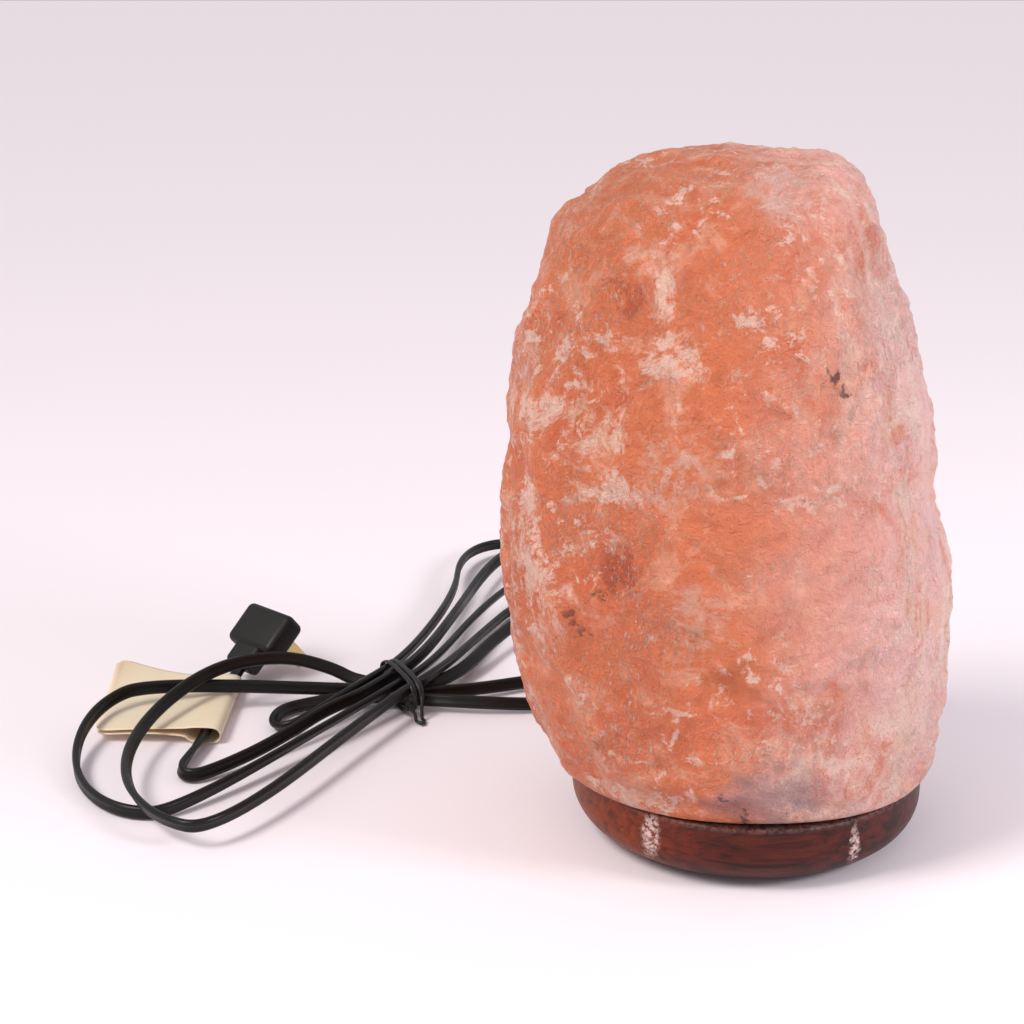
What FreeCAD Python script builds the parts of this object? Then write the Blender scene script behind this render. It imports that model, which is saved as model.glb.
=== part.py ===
import FreeCAD, Part
import math
import os

Vector = FreeCAD.Vector
UP = Vector(0, 0, 1)

# Salt crystal lamp, millimetres. The origin is the centre of the wooden base on the table,
# +Z is up and +Y points away from the side that is looked at. The cord lies at -X.

# The rock: height of each level, then how far it reaches left, right, front and back.
rock_levels = [
    (0.0, 61.0, 60.0, 58.0, 58.0),
    (5.0, 70.5, 67.5, 64.0, 65.0),
    (15.0, 77.0, 70.5, 68.5, 70.0),
    (35.0, 83.0, 71.5, 71.0, 74.0),
    (62.0, 88.0, 70.8, 74.0, 77.5),
    (84.0, 89.0, 68.8, 74.0, 77.5),
    (110.0, 87.0, 63.0, 72.0, 75.0),
    (140.0, 85.0, 58.0, 68.0, 70.0),
    (164.0, 80.0, 50.0, 62.0, 62.5),
    (184.0, 74.0, 42.0, 54.0, 54.0),
    (199.0, 65.5, 36.5, 45.0, 45.0),
    (208.5, 54.0, 32.5, 34.0, 36.0),
    (214.5, 36.0, 26.0, 22.0, 26.0),
    (217.5, 12.0, 17.0, 9.0, 13.0),
]
rock_points = 16
rock_squareness = 0.9
rock_ripple = 0.014
bore_diameter = 46.0
bore_depth = 118.0
bore_end_diameter = 24.0
bore_cone = 10.0

# The turned wooden base and what is let into its underside.
base_diameter = 125.0
base_top = 25.0
base_underside = 1.5
base_lower_edge = 14.0
base_upper_edge = 1.2
groove_width = 7.5
groove_depth = 7.0
foot_count = 4
foot_diameter = 12.0
foot_recess = 1.0
foot_circle = 74.0
screw_count = 3
screw_circle = 92.0
screw_diameter = 4.2
screw_head_diameter = 8.4
screw_head_angle = 45.0
screw_sunk = 1.0
screw_length = 38.0
screw_point = 5.0
screw_slot_width = 1.0
screw_slot_depth = 1.1

# The lampholder on its sprung clip.
running_gap = 0.3
clip_bottom = 22.0
clip_thickness = 0.8
clip_width = 12.0
clip_grip_height = 24.0
clip_end_height = 50.0
clip_end_inset = 6.0
holder_diameter = 22.0
holder_height = 34.0
holder_floor = 9.0
shell_diameter = 13.4
shell_wall = 0.4
shell_height = 18.0
contact_width = 5.0
contact_thickness = 0.5
contact_height = 2.4
rivet_diameter = 2.6
rivet_spacing = 13.0
rivet_head = 1.0
terminal_diameter = 4.0
terminal_depth = 2.5
terminal_height = 5.0

# The bulb: 12 mm screw cap, pear-shaped glass, upright wire filament.
cap_gap = 0.15
cap_height = 16.0
cap_wall = 0.35
tip_diameter = 5.0
tip_height = 1.6
insulator_height = 2.4
glass_wall = 0.8
glass_diameter = 22.0
glass_height = 40.0
glass_neck_height = 9.0
glass_crown = 7.0
stem_diameter = 4.0
stem_height = 15.0
wire_diameter = 0.6
wire_spacing = 8.0
wire_height = 11.0
filament_diameter = 0.5

# The cord: a flat two-core lead. Its solids are round tubes of its width.
cord_width = 5.4
strand_gap = 0.95

# Where the lead runs inside the base, from the lampholder down and out through the groove.
inner_lead = [
    (0.0, 0.0, 30.0),
    (0.0, 0.0, 15.0),
    (0.0, 5.0, 6.6),
    (0.0, 14.0, 4.6),
    (0.0, 28.0, 4.6),
    (0.54, 45.0, 5.05),
    (0.0, 60.0, 4.3),
]

# The free lead, from the back of the base round to the tied hank.
free_lead = [
    (0.0, 60.0, 4.3),
    (-0.5, 74.0, 3.6),
    (-8.0, 88.0, 3.0),
    (-23.0, 96.0, 2.9),
    (-41.0, 97.0, 2.9),
    (-60.0, 94.0, 3.0),
    (-78.0, 91.5, 3.5),
    (-94.0, 90.4, 4.6),
]

# The free tail, from the hank round a sharp bend to the plug.
free_tail = [
    (-158.3, 71.0, 9.8),
    (-168.5, 58.3, 7.6),
    (-181.0, 44.5, 5.2),
    (-194.5, 32.5, 3.4),
    (-204.5, 24.5, 3.0),
    (-210.5, 30.5, 3.0),
    (-208.0, 44.0, 3.3),
    (-205.2, 58.0, 3.5),
    (-203.4, 78.0, 3.45),
    (-202.4, 99.0, 3.45),
]

# The hank, tied where two layers of strands cross. Angles are counted from +X.
waist = (-130.0, 101.0)
waist_run = 18.0
under_angle = 352.0
over_angle = 58.0
under_strands = 3
over_strands = 4
tie_diameter = 1.8
tie_turns = 2
tie_pitch = 4.6
tie_angle = 24.0
tie_tail = 9.0
tie_clearance = 1.4

# The folds of the hank in the order in which the lead runs through them: reach from the waist,
# middle angle, half of the angle it spans, lean towards its first side, how pointed it is at
# its tip and at its neck, and its heights, evenly spread from its first side to its last.
fold_points = 7
folds = [
    (55.0, 207.0, -15.5, -0.12, 0.2, 0.0, (2.9, 2.9, 2.9, 6.5)),
    (190.0, 67.6, 30.0, 0.12, 0.8, 1.0, (8.9, 6.0, 5.0, 9.3, 8.9)),
    (106.0, 202.8, -48.6, -0.71, 0.2, 0.0, (11.0, 17.2, 18.0, 11.0, 9.2, 9.2, 9.5)),
    (150.0, 40.0, 46.0, 0.0, 0.8, 0.7, (6.0, 2.9, 2.9, 2.9, 2.9, 2.9, 2.9)),
    (139.0, 210.5, -26.0, -0.13, 0.2, 0.0, (13.6, 11.6, 7.9, 3.8, 2.9, 2.9, 2.9)),
    (182.0, 72.3, -8.0, 0.0, 0.8, 1.0, (8.9, 5.0, 8.9)),
]

# The moulded plug lies propped on its two blades, which stand at right angles to the lead.
plug_start = (-197.5, 121.0, 6.9)
plug_angle = 47.0
plug_slope = 40.0
plug_width = 27.0
plug_thickness = 11.0
plug_length = 19.0
plug_edge = 3.0
neck_width = 15.0
neck_thickness = 9.0
neck_length = 9.0
neck_edge = 2.5
blade_spacing = 12.7
blade_thickness = 1.5
blade_length = 16.0
blade_root = 4.0
blade_place = 10.5
blade_narrow = 6.3
blade_wide = 7.9

# The blank tag folded round the lead beside the plug.
tag_width = 44.0
tag_length = 54.0
tag_thickness = 0.5
tag_start = (-204.8, 61.0, 0.0)
tag_turn = -2.4
tag_loop_width = 13.0
tag_loop_low = 0.0
tag_loop_height = 6.9
tag_edge_height = 3.0
tag_leaf_gap = 1.4


def save(name, shape):
    """Write one sub-part to its own file."""
    os.makedirs("parts", exist_ok=True)
    shape.exportStep("parts/" + name + ".step")
    print(f"{name}: {len(shape.Solids)} solid(s), {shape.Volume / 1000:.2f} cm3")


def cylinder(diameter, bottom, top, x=0.0, y=0.0):
    return Part.makeCylinder(diameter / 2, top - bottom, Vector(x, y, bottom))


def revolved(profile):
    """Turn a closed outline of (radius, height) points about the Z axis."""
    points = [Vector(r, 0, z) for r, z in profile]
    return Part.Face(Part.makePolygon(points + points[:1])).revolve(Vector(), UP, 360)


def around(count, circle, start=0.0):
    """The places of a ring of pieces."""
    angles = [math.radians(start + 360 * i / count) for i in range(count)]
    return [(circle / 2 * math.cos(a), circle / 2 * math.sin(a)) for a in angles]


def place(shape, origin, angle=0.0, slope=0.0):
    """Turn a shape made along +X so that it points along an angle, then move it."""
    turn = FreeCAD.Rotation(UP, angle).multiply(FreeCAD.Rotation(Vector(0, 1, 0), -slope))
    return shape.transformed(FreeCAD.Placement(Vector(*origin), turn).toMatrix())


def route(points, note=""):
    """Straight runs joined by the largest tangent arcs that they have room for."""
    points = [Vector(*p) for p in points]
    edges, radii, start = [], [], points[0]
    for before, corner, after in zip(points, points[1:], points[2:]):
        back, ahead = before - corner, after - corner
        room = 0.45 * min(back.Length, ahead.Length)
        half_turn = (math.pi - back.getAngle(ahead)) / 2
        back.normalize()
        ahead.normalize()
        inward = (back + ahead).normalize()
        radius = room / math.tan(half_turn)
        middle = corner + inward * (radius / math.cos(half_turn) - radius)
        first, last = corner + back * room, corner + ahead * room
        edges += [Part.LineSegment(start, first).toShape(), Part.Arc(first, middle, last).toShape()]
        radii.append(radius)
        start = last
    edges.append(Part.LineSegment(start, points[-1]).toShape())
    if note:
        print(note, "radii, mm:", [round(r) for r in radii])
    return Part.Wire(edges)


def tube(points, diameter, note=""):
    """A round tube along a route."""
    path = route(points, note)
    first = Vector(*points[1]) - Vector(*points[0])
    ring = Part.Wire(Part.makeCircle(diameter / 2, Vector(*points[0]), first))
    solid = path.makePipeShell([ring], True, False)
    solid = solid if solid.ShapeType == "Solid" else solid.Solids[0]
    if note:
        expected = math.pi * diameter**2 / 4 * path.Length
        print(f"{note} is {path.Length:.0f} mm long, volume {solid.Volume / expected:.4f} of expected")
    return solid, path


# The rock and the wooden base.


def rock_section(level):
    """One level of the rock as a smooth closed line, a little square and uneven."""
    height, left, right, front, back = level
    points = []
    for i in range(rock_points):
        angle = 2 * math.pi * i / rock_points
        across, deep = math.cos(angle), math.sin(angle)
        ripple = 1 + rock_ripple * math.cos(3 * angle + height / 40) * min(1, height / 30)
        x = math.copysign(abs(across) ** rock_squareness, across) * (right if across > 0 else left)
        y = math.copysign(abs(deep) ** rock_squareness, deep) * (back if deep > 0 else front)
        points.append(Vector(x * ripple, y * ripple, base_top + height))
    curve = Part.BSplineCurve()
    curve.interpolate(points, PeriodicFlag=True)
    return Part.Wire(curve.toShape())


def screw_places():
    return around(screw_count, screw_circle, 90 + 180 / screw_count)


def screws(extra=0.0):
    """The countersunk screws, point up, or the holes that they fill."""
    head = screw_head_diameter / 2
    shank = screw_diameter / 2
    bottom = base_underside + screw_sunk
    cone_top = bottom + (head - shank) * math.tan(math.radians(screw_head_angle))
    top = bottom + screw_length
    profile = [(0, bottom - extra), (head, bottom - extra), (head, bottom), (shank, cone_top),
               (shank, top - screw_point), (0, top)]
    return [revolved(profile).translated(Vector(x, y, 0)) for x, y in screw_places()]


def salt_crystal():
    rock = Part.makeLoft([rock_section(level) for level in rock_levels], True, False)
    top = base_top + bore_depth
    bore = cylinder(bore_diameter, base_top - 1, top - bore_cone)
    end = Part.makeCone(bore_diameter / 2, bore_end_diameter / 2, bore_cone, Vector(0, 0, top - bore_cone))
    return rock.cut(bore.fuse(end)).cut(Part.makeCompound(screws()))


def wood_base():
    radius = base_diameter / 2
    wood = cylinder(base_diameter, base_underside, base_top)
    lower = [e for e in wood.Edges if e.BoundBox.ZMax < base_underside + 0.1]
    wood = wood.makeFillet(base_lower_edge, lower)
    upper = [e for e in wood.Edges if e.BoundBox.ZMin > base_top - 0.1]
    wood = wood.makeFillet(base_upper_edge, upper)
    wood = wood.cut(cylinder(bore_diameter, base_underside - 1, base_top + 1))
    groove = Part.makeBox(groove_width, radius, groove_depth + 1)
    wood = wood.cut(groove.translated(Vector(-groove_width / 2, 0, base_underside - 1)))
    for x, y in around(foot_count, foot_circle, 180 / foot_count):
        wood = wood.cut(cylinder(foot_diameter, base_underside - 1, base_underside + foot_recess, x, y))
    return wood.cut(Part.makeCompound(screws(screw_sunk + 1)))


def base_screws():
    """Each screw has a cross slot in its head."""
    bottom = base_underside + screw_sunk
    pieces = []
    for screw, (x, y) in zip(screws(), screw_places()):
        for length, width in ((4 * screw_slot_width, screw_slot_width), (screw_slot_width, 4 * screw_slot_width)):
            slot = Part.makeBox(length, width, screw_slot_depth + 1)
            screw = screw.cut(slot.translated(Vector(x - length / 2, y - width / 2, bottom - 1)))
        pieces.append(screw)
    return Part.makeCompound(pieces)


def base_feet():
    places = around(foot_count, foot_circle, 180 / foot_count)
    return Part.makeCompound([cylinder(foot_diameter, 0, base_underside + foot_recess, x, y) for x, y in places])


# The lampholder, its clip and the bulb.

holder_bottom = clip_bottom + clip_thickness
holder_top = holder_bottom + holder_height
shell_bottom = holder_top - shell_height
contact_seat = shell_bottom - contact_thickness
cap_radius = shell_diameter / 2 - shell_wall - cap_gap
tip_bottom = shell_bottom + contact_height + running_gap
cap_bottom = tip_bottom + tip_height + insulator_height
glass_bottom = cap_bottom + cap_height


def ribbon(points, thickness):
    """A flat outline of even thickness on the left of a line of (x, z) points."""
    normals = []
    for (x0, z0), (x1, z1) in zip(points, points[1:]):
        length = math.hypot(x1 - x0, z1 - z0)
        normals.append(((z0 - z1) / length, (x1 - x0) / length))
    other = []
    for i, (x, z) in enumerate(points):
        a, b = normals[max(i - 1, 0)], normals[min(i, len(normals) - 1)]
        share = thickness / (1 + a[0] * b[0] + a[1] * b[1])
        other.append((x + (a[0] + b[0]) * share, z + (a[1] + b[1]) * share))
    outline = [Vector(x, 0, z) for x, z in points + other[::-1]]
    return Part.Face(Part.makePolygon(outline + outline[:1]))


def spring_clip():
    """One bent strip: a foot under the lampholder and two sprung arms that grip the bore."""
    grip = math.sqrt((bore_diameter / 2 - running_gap) ** 2 - (clip_width / 2) ** 2)
    foot = holder_diameter / 2 + running_gap + clip_thickness
    side = [
        (foot, clip_bottom),
        (grip, clip_bottom + clip_grip_height),
        (grip - clip_end_inset, clip_bottom + clip_end_height),
    ]
    line = [(-x, z) for x, z in side[::-1]] + side
    strip = ribbon(line, clip_thickness).extrude(Vector(0, clip_width, 0))
    strip = strip.translated(Vector(0, -clip_width / 2, 0))
    holes = [cylinder(rivet_diameter, clip_bottom - 1, holder_bottom + 1, x) for x in rivet_places()]
    return strip.cut(Part.makeCompound(holes)).cut(cylinder(cord_width + 1, clip_bottom - 1, holder_bottom + 1))


def rivet_places():
    return (-rivet_spacing / 2, rivet_spacing / 2)


def holder_rivets():
    """Two rivets through the clip into the foot of the lampholder."""
    top = holder_bottom + holder_floor / 2
    return Part.makeCompound([
        cylinder(rivet_diameter, clip_bottom, top, x)
        .fuse(cylinder(2 * rivet_diameter, clip_bottom - rivet_head, clip_bottom, x))
        for x in rivet_places()
    ])


def lampholder_housing():
    body = cylinder(holder_diameter, holder_bottom, holder_top)
    rim = [e for e in body.Edges if e.BoundBox.ZMin > holder_top - 0.1]
    body = body.makeFillet(1.0, rim)
    body = body.cut(cylinder(shell_diameter, shell_bottom, holder_top + 1))
    body = body.cut(cylinder(contact_width + 3, contact_seat, shell_bottom + 1))
    body = body.cut(cylinder(cord_width + 0.4, holder_bottom - 1, holder_bottom + holder_floor))
    for x in rivet_places():
        body = body.cut(cylinder(rivet_diameter, holder_bottom - 1, holder_bottom + holder_floor / 2, x))
    return body.cut(Part.makeCompound(terminal_list()))


def terminal_list():
    """Two terminal screws let into the sides of the lampholder."""
    length, high = terminal_depth, holder_bottom + holder_floor / 2 + terminal_height
    inside = holder_diameter / 2 - length
    screw = Part.makeCylinder(terminal_diameter / 2, length - 0.6, Vector(0, inside, high), Vector(0, 1, 0))
    return [screw, screw.mirror(Vector(), Vector(0, 1, 0))]


def lampholder_screw_shell():
    outer = cylinder(shell_diameter, shell_bottom, holder_top - 0.5)
    return outer.cut(cylinder(shell_diameter - 2 * shell_wall, shell_bottom - 1, holder_top))


def lampholder_center_contact():
    """A leaf that is bent up in the middle."""
    half = contact_width / 2 + 1
    line = [(half, contact_seat), (-half, contact_seat), (-half + 1.2, contact_seat + contact_height),
            (1.2, contact_seat + contact_height)]
    leaf = ribbon(line, -contact_thickness).extrude(Vector(0, contact_width / 2, 0))
    return leaf.translated(Vector(0, -contact_width / 4, 0))


def bulb_cap():
    top = glass_bottom + 1.5
    cap = cylinder(2 * cap_radius, cap_bottom, glass_bottom)
    cap = cap.fuse(cylinder(2 * cap_radius + 1.6, glass_bottom, top))
    return cap.cut(cylinder(2 * (cap_radius - cap_wall), cap_bottom + cap_wall, top + 1))


def bulb_tip_contact():
    tip = cylinder(tip_diameter, tip_bottom, cap_bottom - insulator_height)
    return tip.makeFillet(tip_height / 2, [e for e in tip.Edges if e.BoundBox.ZMax < tip_bottom + 0.1])


def bulb_cap_insulator():
    """The black glass button between the tip and the cap."""
    bottom = cap_bottom - insulator_height
    return Part.makeCone(tip_diameter / 2, cap_radius - 0.6, insulator_height, Vector(0, 0, bottom))


def glass_outline(inset):
    """Half the section of the bulb's glass, shrunk by an even wall."""
    neck = cap_radius - cap_wall - 0.1 - inset
    wide = glass_diameter / 2 - inset
    top = glass_bottom + glass_height - inset
    shoulder = glass_bottom + glass_neck_height + inset / 2
    crown = glass_bottom + glass_height - glass_crown - glass_diameter / 4
    low = glass_bottom - 8 + inset
    return [(neck, low), (neck, glass_bottom + 2), (wide, shoulder + 9), (wide * 0.9, crown),
            (wide * 0.42, top - 1.6), (0, top)]


def glass_solid(inset):
    outline = [Vector(r, 0, z) for r, z in glass_outline(inset)]
    curve = Part.BSplineCurve()
    curve.interpolate(outline[1:])
    low = outline[0]
    axis = Vector(0, 0, low.z)
    edges = [Part.makeLine(axis, low), Part.makeLine(low, outline[1]), curve.toShape(),
             Part.makeLine(outline[-1], axis)]
    return Part.Face(Part.Wire(edges)).revolve(Vector(), UP, 360)


def bulb_glass():
    return glass_solid(0.0).cut(glass_solid(glass_wall))


stem_bottom = glass_bottom - 8 + glass_wall
stem_top = stem_bottom + stem_height
wire_top = stem_top + wire_height


def bulb_stem():
    return Part.makeCone(stem_diameter, stem_diameter / 2, stem_height, Vector(0, 0, stem_bottom))


def bulb_lead_wires():
    """Two wires that stand in the stem and spread to hold the filament."""
    wires = []
    for side in (-1, 1):
        foot = Vector(side * stem_diameter / 4, 0, stem_top)
        head = Vector(side * wire_spacing / 2, 0, wire_top)
        wires.append(Part.makeCylinder(wire_diameter / 2, (head - foot).Length, foot, head - foot))
    return Part.makeCompound(wires)


def bulb_filament():
    """A fine wire bowed upwards between the two lead wires."""
    half = wire_spacing / 2
    top = wire_top + filament_diameter / 2
    line = Part.Arc(Vector(-half, 0, top), Vector(0, 0, top + 2), Vector(half, 0, top))
    path = Part.Wire(line.toShape())
    start = line.tangent(line.FirstParameter)[0]
    ring = Part.Wire(Part.makeCircle(filament_diameter / 2, Vector(-half, 0, top), start))
    return path.makePipeShell([ring], True, False)


# The cord. Each strand crosses the waist in its own place, under or over the other layer.

strand_step = cord_width + strand_gap
waist_low = tie_diameter + cord_width / 2 + 0.4
waist_high = waist_low + strand_step + 0.1
strand_order = [
    ("under", 0), ("over", 3), ("under", 2), ("over", 0), ("under", 1), ("over", 1), ("over", 2),
]


def waist_point(strand, end):
    """A strand's point on the right (+1) or left (-1) of the waist."""
    layer, place_in_layer = strand
    under = layer == "under"
    angle = math.radians(under_angle if under else over_angle)
    count = under_strands if under else over_strands
    across = (place_in_layer - (count - 1) / 2) * strand_step
    along = end * waist_run
    x = waist[0] + along * math.cos(angle) - across * math.sin(angle)
    y = waist[1] + along * math.sin(angle) + across * math.cos(angle)
    return (x, y, waist_low if under else waist_high)


def fold(reach, middle, half, lean, tip, neck, heights):
    """The points of one fold, a drop shape that opens from the waist."""
    points = []
    for i in range(fold_points):
        turn = math.radians(24 + 132 * i / (fold_points - 1))
        angle = math.radians(middle + half * math.cos(turn) * math.sin(turn) ** neck)
        radius = reach * math.sin(turn) ** tip * (1 + lean * math.cos(turn))
        part = i * (len(heights) - 1) / (fold_points - 1)
        below = min(int(part), len(heights) - 2)
        height = heights[below] + (heights[below + 1] - heights[below]) * (part - below)
        points.append((waist[0] + radius * math.cos(angle), waist[1] + radius * math.sin(angle), height))
    return points


def hank_points():
    """Every corner of the hank, one waist crossing and one fold after the other."""
    points = []
    for i, strand in enumerate(strand_order):
        side = 1 if i % 2 == 0 else -1
        points += [waist_point(strand, side), waist_point(strand, -side)]
        if i < len(folds):
            points += fold(*folds[i])
    return points


def straight_on(strand, end, length):
    """A point beyond a strand's end at the waist, in line with the strand."""
    here, there = Vector(*waist_point(strand, end)), Vector(*waist_point(strand, -end))
    return tuple(here + (here - there).normalize() * length)


def before_plug(length):
    """A point on the plug's axis, before its neck."""
    flat, steep = math.radians(plug_angle), math.radians(plug_slope)
    ahead = Vector(math.cos(flat) * math.cos(steep), math.sin(flat) * math.cos(steep), math.sin(steep))
    return tuple(Vector(*plug_start) - ahead * length)


lead_points = free_lead + [straight_on(strand_order[0], 1, 1.3 * cord_width), waist_point(strand_order[0], 1)]
tail_points = [waist_point(strand_order[-1], -1), straight_on(strand_order[-1], -1, 1.3 * cord_width)]
tail_points += free_tail + [before_plug(1.05 * cord_width), plug_start]


def least_gap(path):
    """The smallest distance between the tube's own turns."""
    step = 2.0
    samples = path.discretize(Number=int(path.Length / step))
    apart = int(3 * cord_width / step)
    least = min(
        (a - b).Length for i, a in enumerate(samples) for b in samples[i + apart:]
    )
    return least - cord_width


def cord_hank():
    solid, path = tube(hank_points(), cord_width, "cord_hank")
    print(f"cord_hank: least gap of the tube to itself {least_gap(path):.2f} mm")
    return solid


def twist_tie():
    """One wire wound round the strands, with its two ends twisted off at the near side."""
    spread = (over_strands - 1) / 2 * strand_step + cord_width / 2
    lean = math.radians(over_angle - tie_angle)
    half = spread / math.cos(lean) + tie_pitch / 2 * math.tan(lean) + tie_diameter / 2 + tie_clearance
    low = tie_diameter / 2
    high = waist_high + cord_width / 2 + tie_clearance + tie_diameter / 2
    start = -tie_turns * tie_pitch / 2
    corners = [(-half, low), (half, low), (half, high), (-half, high)]
    points = [(start, -half - tie_tail, low + 1.0)]
    for i in range(4 * tie_turns + 1):
        across, height = corners[i % 4]
        points.append((start + tie_pitch * i / 4, across, height))
    points.append((start + tie_turns * tie_pitch, -half - tie_tail, low + 1.0))
    solid, _ = tube(points, tie_diameter)
    return place(solid, (waist[0], waist[1], 0), tie_angle)


# The plug and the tag.


def block(length, width, thickness, edge):
    """A rounded block along +X, centred on the axis."""
    solid = Part.makeBox(length, width, thickness, Vector(0, -width / 2, -thickness / 2))
    return solid.makeFillet(edge, solid.Edges)


def plug_place(shape):
    return place(shape, plug_start, plug_angle, plug_slope)


def blade(width, side):
    """One blade, out of the plug's underside."""
    low = -plug_thickness / 2 - blade_length
    corner = Vector(neck_length + blade_place - width / 2, side * blade_spacing / 2 - blade_thickness / 2, low)
    return plug_place(Part.makeBox(width, blade_thickness, blade_length + blade_root, corner))


def plug_body():
    neck = block(neck_length + neck_edge + 1, neck_width, neck_thickness, neck_edge)
    head = block(plug_length, plug_width, plug_thickness, plug_edge).translated(Vector(neck_length, 0, 0))
    body = plug_place(neck.fuse(head))
    return body.cut(blade(blade_narrow, -1)).cut(blade(blade_wide, 1))


def cord_tag():
    """One strip of film folded in half: a loose loop round the cord and two leaves that lie together."""
    half, low, high = tag_loop_width / 2, tag_loop_low, tag_loop_low + tag_loop_height
    slope = (high - 2.2 - tag_edge_height) / (tag_width - half)
    line = [(-tag_width, tag_edge_height + tag_leaf_gap), (-half - 1.5, high - 2.2 - slope + tag_leaf_gap),
            (-half + 1.5, high), (half - 2, high), (half, high - 2), (half, low + 2), (half - 2, low),
            (-half + 1, low), (-half - 1.5, high - 2.2 - slope), (-tag_width, tag_edge_height)]
    strip = ribbon(line, -tag_thickness).extrude(Vector(0, tag_length, 0))
    return place(strip, tag_start, tag_turn)


save("salt_crystal", salt_crystal())
save("wood_base", wood_base())
save("base_screws", base_screws())
save("base_feet", base_feet())
save("spring_clip", spring_clip())
save("holder_rivets", holder_rivets())
save("lampholder_housing", lampholder_housing())
save("lampholder_terminals", Part.makeCompound(terminal_list()))
save("lampholder_screw_shell", lampholder_screw_shell())
save("lampholder_center_contact", lampholder_center_contact())
save("bulb_cap", bulb_cap())
save("bulb_tip_contact", bulb_tip_contact())
save("bulb_cap_insulator", bulb_cap_insulator())
save("bulb_glass", bulb_glass())
save("bulb_stem", bulb_stem())
save("bulb_lead_wires", bulb_lead_wires())
save("bulb_filament", bulb_filament())
save("holder_lead", tube(inner_lead, cord_width, "holder_lead")[0])
save("cord_lead", tube(lead_points, cord_width, "cord_lead")[0])
save("cord_hank", cord_hank())
save("cord_tail", tube(tail_points, cord_width, "cord_tail")[0])
save("twist_tie", twist_tie())
save("cord_tag", cord_tag())
save("plug_body", plug_body())
save("plug_blade_narrow", blade(blade_narrow, -1))
save("plug_blade_wide", blade(blade_wide, 1))
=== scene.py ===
import bpy
import bmesh
import math
import numpy as np
from mathutils import Matrix, Vector, noise
from mathutils.kdtree import KDTree


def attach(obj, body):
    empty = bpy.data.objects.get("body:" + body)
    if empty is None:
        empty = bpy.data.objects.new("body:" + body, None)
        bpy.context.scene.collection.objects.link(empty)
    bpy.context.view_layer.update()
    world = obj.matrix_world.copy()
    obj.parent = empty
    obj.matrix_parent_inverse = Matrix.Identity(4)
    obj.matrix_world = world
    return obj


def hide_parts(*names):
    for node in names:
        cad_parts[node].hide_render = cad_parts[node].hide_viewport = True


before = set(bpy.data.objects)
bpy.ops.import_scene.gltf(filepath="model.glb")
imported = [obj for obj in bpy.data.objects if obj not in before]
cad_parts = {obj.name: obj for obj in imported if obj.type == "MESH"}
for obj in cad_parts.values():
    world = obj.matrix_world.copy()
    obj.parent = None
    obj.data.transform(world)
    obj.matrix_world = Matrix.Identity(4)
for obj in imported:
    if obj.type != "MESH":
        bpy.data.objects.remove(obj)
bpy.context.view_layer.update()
up = Vector((0, 0, 1))


# Camera, floor and light.

cameraSettings = dict(lens=77.34, sensor=36, place=(-0.0844, -0.7257, 0.3606), downward=18.61)


def addCamera():
    values = cameraSettings
    data = bpy.data.cameras.new("view")
    data.lens = values["lens"]
    data.sensor_width = values["sensor"]
    camera = bpy.data.objects.new("view", data)
    camera.location = values["place"]
    camera.rotation_euler = (math.radians(90 - values["downward"]), 0, 0)
    bpy.context.scene.collection.objects.link(camera)
    bpy.context.scene.camera = camera


def addLight(name, place, target, size, power, color):
    data = bpy.data.lights.new(name, "AREA")
    data.size = size
    data.energy = power
    data.color = color
    light = bpy.data.objects.new(name, data)
    light.location = place
    light.rotation_euler = (Vector(target) - Vector(place)).to_track_quat("-Z", "Y").to_euler()
    bpy.context.scene.collection.objects.link(light)


def addSun(name, toward, strength, spread):
    data = bpy.data.lights.new(name, "SUN")
    data.energy = strength
    data.angle = math.radians(spread)
    data.color = (1, 0.97, 0.94)
    light = bpy.data.objects.new(name, data)
    light.rotation_euler = Vector(toward).to_track_quat("-Z", "Y").to_euler()
    bpy.context.scene.collection.objects.link(light)


studioSettings = dict(
    airColor=(0.93, 0.88, 0.92), airStrength=0.64,
    floorColor=(0.87, 0.81, 0.85), floorRoughness=0.9, floorReach=3, floorDrop=0.0002,
    key=dict(place=(-0.85, -0.55, 0.9), target=(0, 0, 0.1), size=0.35, power=4.8, color=(1, 0.95, 0.9)),
    sun=dict(toward=(0.5, 0.28, -0.8), strength=1.25, spread=20),
    side=dict(place=(0.7, -0.35, 0.5), target=(0.02, 0, 0.12), size=0.25, power=4, color=(0.97, 0.97, 1)),
)


def addStudio():
    values = studioSettings
    world = bpy.data.worlds.new("studio")
    world.use_nodes = True
    background = world.node_tree.nodes["Background"]
    background.inputs["Color"].default_value = (*values["airColor"], 1)
    background.inputs["Strength"].default_value = values["airStrength"]
    bpy.context.scene.world = world
    bpy.context.scene.view_settings.view_transform = "Standard"
    addLight("key", **values["key"])
    addSun("window", **values["sun"])
    addLight("side", **values["side"])
    mesh = bpy.data.meshes.new("floor")
    reach = values["floorReach"]
    corners = [(-reach, -reach, 0), (reach, -reach, 0), (reach, reach, 0), (-reach, reach, 0)]
    mesh.from_pydata(corners, [], [(0, 1, 2, 3)])
    floor = bpy.data.objects.new("floor", mesh)
    bpy.context.scene.collection.objects.link(floor)
    floor.location.z = -values["floorDrop"]
    mesh.materials.append(plainMaterial("floor_paper", values["floorColor"], values["floorRoughness"]))


# Shader helpers.

def newMaterial(name):
    material = bpy.data.materials.new(name)
    material.use_nodes = True
    nodes = material.node_tree.nodes
    return material, nodes, material.node_tree.links, nodes["Principled BSDF"]


def plainMaterial(name, color, roughness):
    material, _, _, shader = newMaterial(name)
    shader.inputs["Base Color"].default_value = (*color, 1)
    shader.inputs["Roughness"].default_value = roughness
    return material


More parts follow.
